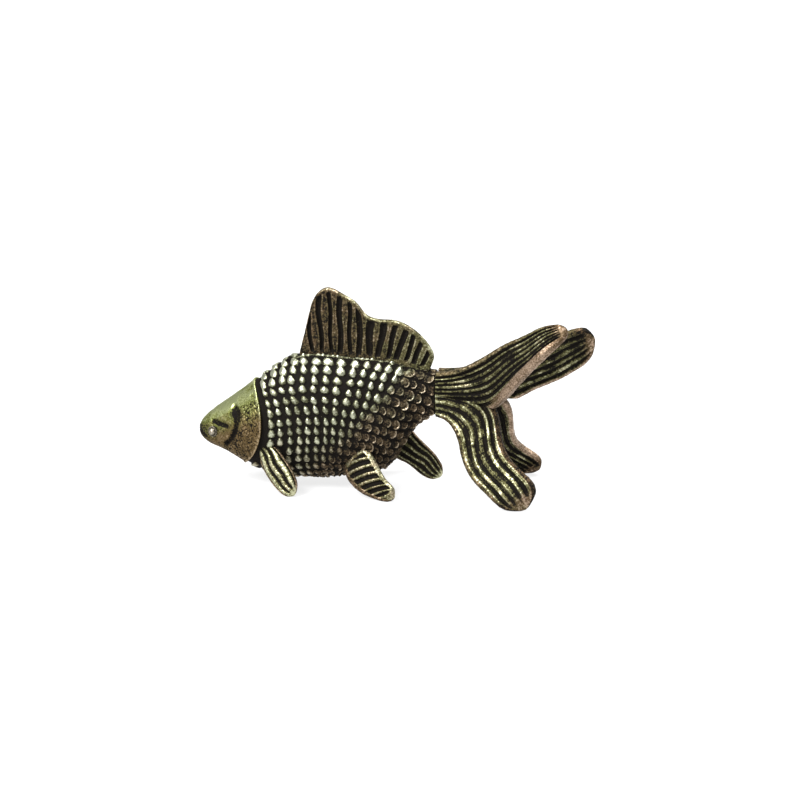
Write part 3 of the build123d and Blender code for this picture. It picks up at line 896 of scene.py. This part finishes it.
def leaf_mesh(edges, thickness, squareness, carving, grid=fin_grid):
    """A closed leaf between its two edges, round at the tip and cut flat where it would pass the ground."""
    middles = (edges[:, :3] + edges[:, 3:6]) / 2
    places = np.cumsum([0, *np.linalg.norm(np.diff(middles, axis=0), axis=1)])
    length = places[-1]
    read = curve_through(places / length, edges)
    tip_width = np.linalg.norm(edges[-1, :3] - edges[-1, 3:6])
    tip_start = 1 - tip_round_share * tip_width / length
    step = 0.02

    def surface(u, turn):
        u = np.clip((u - leaf_root_share) / (1 - leaf_root_share), 0, 1)
        rows_at = read(u)
        lead, trail, share = rows_at[:, :3], rows_at[:, 3:6], rows_at[:, 6]
        across = trail - lead
        nearby = np.clip(u, step, 1 - step)
        ahead, behind = read(nearby + step), read(nearby - step)
        way = (ahead[:, :3] + ahead[:, 3:6] - behind[:, :3] - behind[:, 3:6]) / 2
        facing = np.cross(across, way)
        facing /= np.linalg.norm(facing, axis=1)[:, None]
        rounding = np.sqrt(np.clip(1 - (np.clip(u - tip_start, 0, 1) / (1 - tip_start)) ** 2, 0, 1))
        angle = leaf_angle(turn)
        out = np.sign(np.sin(angle)) * abs(np.sin(angle)) ** squareness
        flat = (lead + trail) / 2 + across / 2 * (rounding * np.cos(angle))[:, None]
        return flat + facing * (thickness / 2 * share * rounding * out)[:, None]

    def rooted_surface(u, turn):
        points = surface(u, turn)
        start = np.zeros_like(u)
        root = (surface(start, start) + surface(start, start + 0.5)) / 2
        return root + (points - root) * np.clip(u / leaf_root_share, 0, 1)[:, None]

    bm = cast_grid(*grid, rooted_surface, carving)
    for vert in bm.verts:
        vert.co.z = max(vert.co.z, 0)
    return bm


def crests(across, u, count, half_share, salt):
    """Uneven lengthwise ridges over a leaf: 1 on a crest, 0 in the valley between two."""
    wander = 0.2 * np.sin(6 * u + salt) + 0.1 * np.sin(15 * u + 2 * salt)
    place = count * across + wander * across * (1 - across) * 4
    nearest = np.floor(place)
    off = abs(place - nearest - 0.5)
    half = half_share * (0.75 + 0.5 * scatter(nearest, salt, 31))
    return np.sqrt(np.clip(1 - (off / half) ** 2, 0, 1)) * (0.75 + 0.25 * scatter(nearest, salt, 32))


def ribbed_carving(ribs, half_share, thickness, brightness, salt):
    """Ridges that run lengthwise over both faces and die out at the root and the tip."""

    def carving(u, turn, points):
        angle = leaf_angle(turn)
        across = (1 + np.cos(angle)) / 2
        face = np.where(np.sin(angle) > 0, 0, second_face_salt)
        crest = crests(across, u, ribs, half_share, salt + face)
        ends = ease(u, 0.02, 0.1) * (1 - ease(u, 0.88, 0.97))
        faces = ease(abs(np.sin(angle)), 0.15, 0.4)
        valley = (1 - crest) * ends * faces
        rough = casting_noise(points, fin_lump)
        lift = fin_roughness * rough * ends - valley_depth_share * thickness / 2 * valley
        relief = brightness + 0.2 * rough - 1.1 * valley - 0.15 * (1 - faces)
        tone = 0.2 + 0.55 * (1 - faces)
        return lift, np.clip(relief, 0, top_relief), tone

    return carving


for side_name, side in (("left", -1), ("right", 1)):
    edges = paired_fin_edges(
        pectoral_shares, pectoral_setback, pectoral_reach, pectoral_root_height, pectoral_stance, side, 0
    )
    carving = ribbed_carving(
        pectoral_ribs, pectoral_rib_half_share, pectoral_thickness, pectoral_brightness, side
    )
    bm = leaf_mesh(edges, pectoral_thickness, fin_squareness, carving)
    name = f"{side_name}_pectoral_fin"
    brass_piece(f"ribbed_{name}", bm, fin_brass, name)

# Pelvic fins
# Broader cast leaves under the belly, soldered into sockets, with rays that sweep across to a thick rear
# rim. The left one stands on its tip, and the right one is bent up clear of the ground.
pelvic_setback = 11.0 * mm
pelvic_reach = 5.85 * mm
pelvic_root_height = 5.5 * mm
pelvic_stance = 6.7 * mm
right_pelvic_tip_height = 1.7 * mm
pelvic_thickness = 1.4 * mm
pelvic_rays = 8
pelvic_sink = 0.06 * mm
# Where across the leaf the rear rim starts and is full
rear_rim_start = 0.85
rear_rim_end = 0.91
pelvic_shares = [
    ((-0.15, -0.30, 0.57), (0.14, -0.30, 1.0), 0.8),
    ((-0.096, 0.11, 0.385), (0.34, 0.07, 1.0), 1.0),
    ((0.055, 0.41, 0.23), (0.504, 0.30, 0.835), 1.0),
    ((0.284, 0.67, 0.10), (0.65, 0.56, 0.607), 0.95),
    ((0.57, 0.85, 0.016), (0.815, 0.78, 0.42), 0.85),
    ((0.81, 0.96, -0.01), (0.954, 0.93, 0.29), 0.7),
    ((0.94, 1.0, 0.0), (1.0, 1.0, 0.19), 0.4),
]


def pelvic_carving(u, turn, points):
    """Rays that cross the leaf between a thick rear rim and a lower front rim."""
    across = (1 + np.cos(leaf_angle(turn))) / 2
    place = pelvic_rays * (u - 0.16 * across - 0.1 * across**2)
    nearest = np.floor(place)
    half = 0.18 + 0.14 * scatter(nearest, 0, 41)
    crest = np.sqrt(np.clip(1 - ((place - nearest - 0.5) / half) ** 2, 0, 1))
    rear_rim = ease(across, rear_rim_start, rear_rim_end)
    inner = ease(across, 0.12, 0.2) * (1 - rear_rim)
    inner *= ease(u, 0.1, 0.18) * (1 - ease(u, 0.84, 0.93))
    valley = (1 - crest) * inner
    rough = casting_noise(points, fin_lump)
    lift = fin_roughness * rough - pelvic_sink * inner - valley_depth_share * pelvic_thickness / 2 * valley
    front_rim = 1 - ease(across, 0.05, 0.25)
    relief = 0.68 + 0.3 * rough - 0.9 * valley - 0.2 * front_rim + 0.1 * rear_rim
    tone = 0.4 + 0.5 * front_rim
    return lift, np.clip(relief, 0, top_relief), tone


for side_name, side, tip_height in (("left", -1, 0), ("right", 1, right_pelvic_tip_height)):
    edges = paired_fin_edges(
        pelvic_shares, pelvic_setback, pelvic_reach, pelvic_root_height, pelvic_stance, side, tip_height
    )
    bm = leaf_mesh(edges, pelvic_thickness, fin_squareness, pelvic_carving)
    name = f"{side_name}_pelvic_fin"
    brass_piece(f"rayed_{name}", bm, fin_brass, name)

# Anal fin
# One narrow cast leaf on the middle plane, dark, with a few thin bright ridges. It is soldered into a socket
# on the steep underside in front of the tail stem.
anal_setback = 4.9 * mm
anal_reach = 5.9 * mm
anal_tip_height = 1.0 * mm
anal_thickness = 1.4 * mm
anal_ribs = 4
anal_rib_half_share = 0.26
anal_brightness = 0.85
anal_salt = 2
anal_root_share = 0.17
# As for the paired fins, with no way out to the side
anal_shares = [
    ((-0.105, 0.73), (0.227, 1.56), 0.9),
    ((0.0, 0.577), (0.33, 1.377), 1.0),
    ((0.207, 0.446), (0.537, 1.07), 1.0),
    ((0.454, 0.19), (0.746, 0.80), 0.95),
    ((0.683, 0.033), (0.91, 0.487), 0.8),
    ((0.85, 0.0), (0.993, 0.236), 0.45),
]
anal_root_x = stem_x - anal_setback
anal_rise = body_at(np.array([anal_root_x + anal_reach * anal_root_share]))[0, 0] - anal_tip_height
anal_edges = []
for *ends, share in anal_shares:
    row = [(anal_root_x + anal_reach * back, 0, anal_tip_height + anal_rise * up) for back, up in ends]
    anal_edges.append((*row[0], *row[1], share))
anal_carving = ribbed_carving(anal_ribs, anal_rib_half_share, anal_thickness, anal_brightness, anal_salt)
bm = leaf_mesh(np.array(anal_edges), anal_thickness, fin_squareness, anal_carving)
brass_piece("ribbed_anal_fin", bm, fin_brass, "anal_fin")

# Tail lobes
# Four thick cast leaves, ribbed on both faces and smooth along their blunt edges. They are lapped on the
# tang and soldered, upper against lower along a seam that falls towards the rear.
upper_left_reach = 17.1 * mm
upper_left_rise = 8.0 * mm
upper_left_splay = 5.8 * mm
upper_right_reach = cad_box[1].x - stem_x
upper_right_rise = 5.3 * mm
upper_right_splay = 5.0 * mm
lower_left_reach = 13.6 * mm
lower_right_reach = 11.8 * mm
lower_stance = 8.0 * mm
lobe_thickness = 1.7 * mm
lobe_squareness = 0.42
lobe_crest_half_share = 0.34
lobe_lump = 0.35 * mm
lobe_patch = 1.4 * mm
lobe_roughness = 0.035 * mm
lobe_grid = (220, 320)
# Fine ridges between the crests, so many to each, and what tells them from the crests
fine_ridges = 3
fine_half_share = 0.4
fine_salt = 9
# Crests, their brightness, the share and brightness of the smooth rear band, and what sets the crests' run
upper_left_finish = (8, 0.72, 0.2, 0.75, 6)
upper_right_finish = (6, 0.8, 0.1, 0.75, 7)
lower_left_finish = (5, 0.9, 0.0, 0.3, 4)
lower_right_finish = (5, 0.7, 0.1, 0.75, 6)
solder_gap = 0.05 * mm
parting_slope = tan(radians(7))
upper_left_shares = [
    ((-0.03, 0.0, 0.0), (-0.03, 0.0, -0.14), 1.0),
    ((0.18, 0.09, 0.10), (0.23, 0.13, -0.19), 1.0),
    ((0.40, 0.19, 0.39), (0.425, 0.31, -0.14), 0.95),
    ((0.55, 0.27, 0.59), (0.605, 0.72, 0.29), 0.9),
    ((0.685, 0.35, 0.74), (0.735, 0.92, 0.635), 0.85),
    ((0.80, 0.45, 0.88), (0.87, 0.98, 0.94), 0.8),
    ((0.953, 0.66, 0.995), (1.0, 0.74, 1.17), 0.35),
]
upper_right_shares = [
    ((-0.03, 0.0, 0.0), (-0.03, 0.0, -0.2), 1.0),
    ((0.164, 0.11, 0.03), (0.205, 0.16, -0.29), 1.0),
    ((0.365, 0.23, 0.305), (0.435, 0.40, -0.295), 0.95),
    ((0.56, 0.30, 0.55), (0.585, 0.73, -0.05), 0.9),
    ((0.72, 0.37, 0.775), (0.73, 0.95, 0.165), 0.85),
    ((0.845, 0.47, 0.94), (0.875, 0.98, 0.48), 0.8),
    ((0.927, 0.57, 0.975), (0.965, 0.86, 0.825), 0.65),
    ((0.968, 0.61, 0.925), (1.0, 0.71, 1.13), 0.35),
]
lower_left_shares = [
    ((-0.04, 0.0, 1.0), (-0.04, 0.0, 1.1), 1.0),
    ((0.13, 0.09, 0.925), (0.32, 0.06, 1.08), 1.0),
    ((0.228, 0.30, 0.745), (0.537, 0.12, 0.93), 0.95),
    ((0.287, 0.50, 0.53), (0.625, 0.36, 0.653), 0.9),
    ((0.397, 0.72, 0.32), (0.728, 0.58, 0.463), 0.85),
    ((0.55, 0.89, 0.16), (0.897, 0.83, 0.347), 0.8),
    ((0.70, 0.985, 0.02), (0.985, 0.96, 0.215), 0.7),
    ((0.83, 1.01, -0.03), (0.97, 1.0, 0.075), 0.45),
]
lower_right_shares = [
    ((-0.04, 0.0, 1.0), (-0.04, 0.0, 1.1), 1.0),
    ((0.153, 0.09, 0.925), (0.373, 0.06, 1.08), 1.0),
    ((0.263, 0.30, 0.745), (0.703, 0.15, 0.88), 0.95),
    ((0.33, 0.50, 0.53), (0.746, 0.30, 0.628), 0.9),
    ((0.44, 0.72, 0.32), (0.754, 0.52, 0.43), 0.85),
    ((0.585, 0.89, 0.15), (0.84, 0.75, 0.29), 0.8),
    ((0.72, 0.985, 0.02), (0.966, 0.89, 0.165), 0.7),
    ((0.84, 1.01, -0.03), (1.0, 0.96, 0.074), 0.45),
]
upper_bases = (stem_top, stem_centre_height)
lower_bases = (0, 0)


def lobe_carving(ribs, brightness, band_share, band_brightness, salt):
    """Uneven ridges over both faces, a smooth warm band along the trailing edge and a brown tip."""

    def carving(u, turn, points):
        angle = leaf_angle(turn)
        across = (1 + np.cos(angle)) / 2
        face = np.where(np.sin(angle) > 0, 0, second_face_salt)
        crest = crests(across, u, ribs, lobe_crest_half_share, salt + face)
        fine = crests(across, u, fine_ridges * ribs, fine_half_share, salt + face + fine_salt)
        crest = np.maximum(crest * (0.8 + 0.2 * fine), 0.35 * fine)
        faces = ease(abs(np.sin(angle)) ** lobe_squareness, 0.72, 0.85)
        ends = ease(u, 0.02, 0.08) * (1 - ease(u, 0.9, 0.97))
        band = ease(across, 1 - band_share, 1.03 - band_share) * ease(u, 0.3, 0.5)
        trailing = np.maximum((1 - faces) * (across > 0.5), band)
        leading = (1 - faces) * (across < 0.5)
        valley = (1 - crest) * ends * faces * (1 - band)
        rough = casting_noise(points, lobe_lump)
        lumps = casting_noise(points, lobe_patch)
        tip = ease(u, 0.86, 0.96)
        lift = lobe_roughness * rough * ends - valley_depth_share * lobe_thickness / 2 * valley
        relief = brightness + (0.25 * rough + 0.3 * lumps) * (1 - trailing) - 1.15 * valley
        relief += (band_brightness - brightness) * trailing + (0.45 - brightness) * leading - 0.2 * tip
        tone = 0.15 + 0.85 * trailing + 0.4 * leading + 0.6 * tip + 0.25 * lumps
        return lift, np.clip(relief, 0, top_relief), tone

    return carving


def trim(bm, place, outwards):
    """Cuts the lobe along a plane, drops what lies outwards of it and closes the cut."""
    whole = bm.verts[:] + bm.edges[:] + bm.faces[:]
    cut = bmesh.ops.bisect_plane(
        bm, geom=whole, dist=1e-8, plane_co=place, plane_no=outwards, clear_outer=True
    )
    edges = [part for part in cut["geom_cut"] if isinstance(part, bmesh.types.BMEdge)]
    if edges:
        bmesh.ops.triangle_fill(bm, use_beauty=True, edges=edges)


def tail_lobe(lobe_name, side, shares, reach, splay, bases, rises, carving):
    """One lobe between its two edges, cut flat against the stem, the tang and the lobe above or below it."""
    root_y = stem_width / 4
    lobe_edges = []
    for *ends, share in shares:
        row = [
            (stem_x + reach * back, side * (root_y + (splay - root_y) * out), base + rise * up)
            for (back, out, up), base, rise in zip(ends, bases, rises)
        ]
        lobe_edges.append((*row[0], *row[1], share))
    bm = leaf_mesh(np.array(lobe_edges), lobe_thickness, lobe_squareness, carving, lobe_grid)
    level = 1 if bases == upper_bases else -1
    trim(bm, (stem_x + solder_gap, 0, 0), (-1, 0, 0))
    trim(bm, (0, side * (tang_thickness / 2 + solder_gap), 0), (0, -side, 0))
    seam_height = stem_centre_height + level * solder_gap / 2
    trim(bm, (stem_x, 0, seam_height), (-level * parting_slope, 0, -level))
    bmesh.ops.recalc_face_normals(bm, faces=bm.faces)
    name = f"{lobe_name}_tail_lobe"
    brass_piece(f"ribbed_{name}", bm, fin_brass, name)


rises = (upper_left_rise, upper_left_rise)
carving = lobe_carving(*upper_left_finish)
tail_lobe(
    "upper_left", -1, upper_left_shares, upper_left_reach, upper_left_splay, upper_bases, rises, carving
)
rises = (upper_right_rise, upper_right_rise)
carving = lobe_carving(*upper_right_finish)
tail_lobe(
    "upper_right", 1, upper_right_shares, upper_right_reach, upper_right_splay, upper_bases, rises, carving
)
rises = (stem_low, stem_centre_height)
carving = lobe_carving(*lower_left_finish)
tail_lobe("lower_left", -1, lower_left_shares, lower_left_reach, lower_stance, lower_bases, rises, carving)
carving = lobe_carving(*lower_right_finish)
tail_lobe(
    "lower_right", 1, lower_right_shares, lower_right_reach, lower_stance, lower_bases, rises, carving
)

# Floor, light and camera
# A white studio floor under soft light from above and the front, seen from the fish's left, a little above.
floor_half_size = 2.0
floor_paper = (0.9, 0.9, 0.9, 1)
white = (1, 1, 1, 1)
glow_share = 0.8
sky_strength = 0.4
floor_mesh = bmesh.new()
bmesh.ops.create_grid(floor_mesh, x_segments=1, y_segments=1, size=floor_half_size)
floor_data = bpy.data.meshes.new("floor")
floor_mesh.to_mesh(floor_data)
floor_mesh.free()
floor = bpy.data.objects.new("floor", floor_data)
bpy.context.scene.collection.objects.link(floor)
floor_white = bpy.data.materials.new("floor_white")
floor_white.use_nodes = True
floor_white.node_tree.nodes.clear()


def background_rays(shade):
    """1 for the rays that show the white background: seen, mirrored or looked through."""
    seen = shade.add("ShaderNodeLightPath", {}, {}, "Is Camera Ray")
    mirrored = shade.add("ShaderNodeLightPath", {}, {}, "Is Glossy Ray")
    return seen + mirrored + shade.add("ShaderNodeLightPath", {}, {}, "Is Transmission Ray")


shade = Shade(floor_white.node_tree)
paper = shade.add("ShaderNodeBsdfDiffuse", {}, {"Color": floor_paper})
glow = shade.add("ShaderNodeEmission", {}, {"Color": white, "Strength": 1.0})
glowing = background_rays(shade) * glow_share
surface = shade.add("ShaderNodeMixShader", {}, {0: glowing, 1: paper, 2: glow})
shade.add("ShaderNodeOutputMaterial", {}, {"Surface": surface})
floor_data.materials.append(floor_white)

world = bpy.data.worlds.new("studio")
world.use_nodes = True
world.node_tree.nodes.clear()
shade = Shade(world.node_tree)
seen = shade.add("ShaderNodeLightPath", {}, {}, "Is Camera Ray")
sky_seen = sky_strength + seen * (1 - sky_strength)
sky = shade.add("ShaderNodeBackground", {}, {"Color": white, "Strength": sky_seen})
shade.add("ShaderNodeOutputWorld", {}, {"Surface": sky})
bpy.context.scene.world = world

fish_middle = Vector((0, 0, 0.01))
lamps = [
    ("key_light", (-0.22, -0.26, 0.36), 0.22, 4.5),
    ("top_light", (0.05, 0.08, 0.42), 0.3, 3.0),
    ("rear_light", (0.25, 0.25, 0.25), 0.25, 1.2),
]
for lamp_name, place, size, power in lamps:
    lamp = bpy.data.lights.new(lamp_name, "AREA")
    lamp.size = size
    lamp.energy = power
    holder = bpy.data.objects.new(lamp_name, lamp)
    holder.location = place
    holder.rotation_euler = (fish_middle - Vector(place)).to_track_quat("-Z", "Y").to_euler()
    bpy.context.scene.collection.objects.link(holder)

view_azimuth = radians(10)
view_elevation = radians(17)
view_width = 96.29 * mm
view_aim = Vector((0.022, 3.066, 9.864)) * mm
view_distance = 0.6
towards_camera = Vector(
    (sin(view_azimuth) * cos(view_elevation), -cos(view_azimuth) * cos(view_elevation), sin(view_elevation))
)
camera = bpy.data.cameras.new("camera")
camera.type = "ORTHO"
camera.ortho_scale = view_width
camera_holder = bpy.data.objects.new("camera", camera)
camera_holder.location = view_aim + towards_camera * view_distance
camera_holder.rotation_euler = (-towards_camera).to_track_quat("-Z", "Y").to_euler()
bpy.context.scene.collection.objects.link(camera_holder)
bpy.context.scene.camera = camera_holder
bpy.context.scene.view_settings.view_transform = "Standard"
